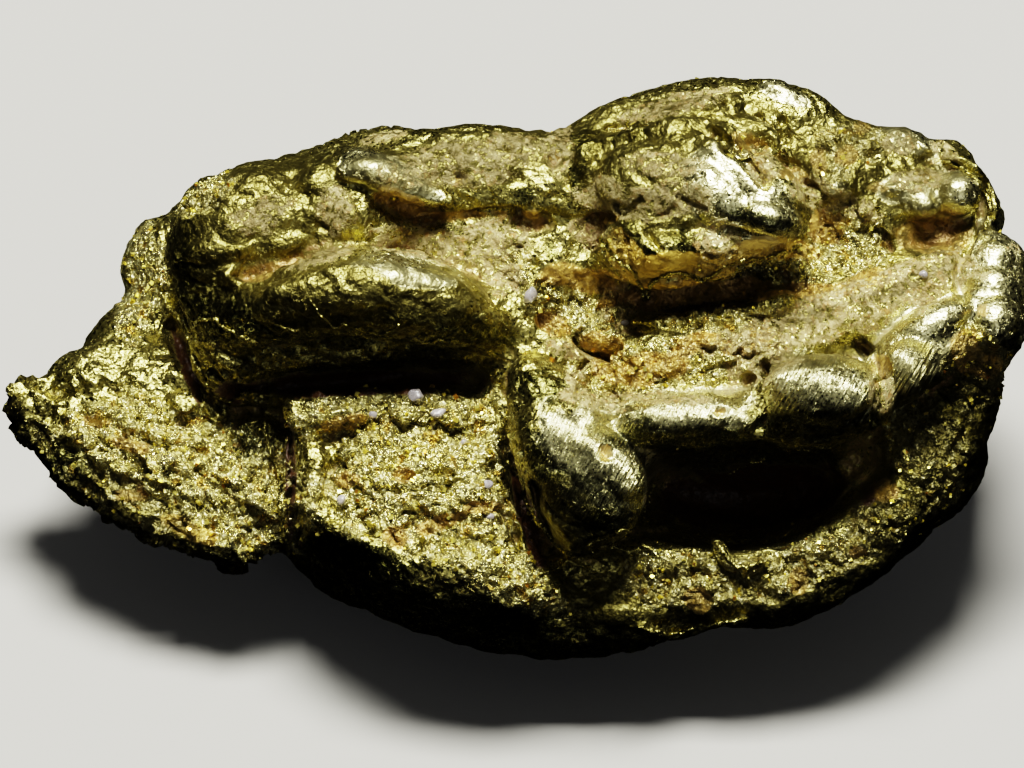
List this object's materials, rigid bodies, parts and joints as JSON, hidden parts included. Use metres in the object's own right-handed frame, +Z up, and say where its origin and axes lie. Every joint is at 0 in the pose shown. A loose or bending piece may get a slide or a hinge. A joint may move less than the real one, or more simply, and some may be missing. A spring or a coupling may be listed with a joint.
{
  "type": "gold nugget",
  "caption": "Small lumpy nugget of native gold, folded and worn smooth, with deep hollows and a small flat it rests on.",
  "frame": {"origin": "middle of the nugget's footprint, on the surface that it rests on", "axes": "+X along the nugget's length towards its blunt end, +Y towards its back, +Z up"},
  "size_m": [0.016, 0.0087, 0.0083],
  "materials": {
    "gold": "worn satin native gold, crystalline and clay-filmed in its hollows"
  },
  "bodies": {
    "root": {"nugget": "gold"}
  },
  "joints": []
}
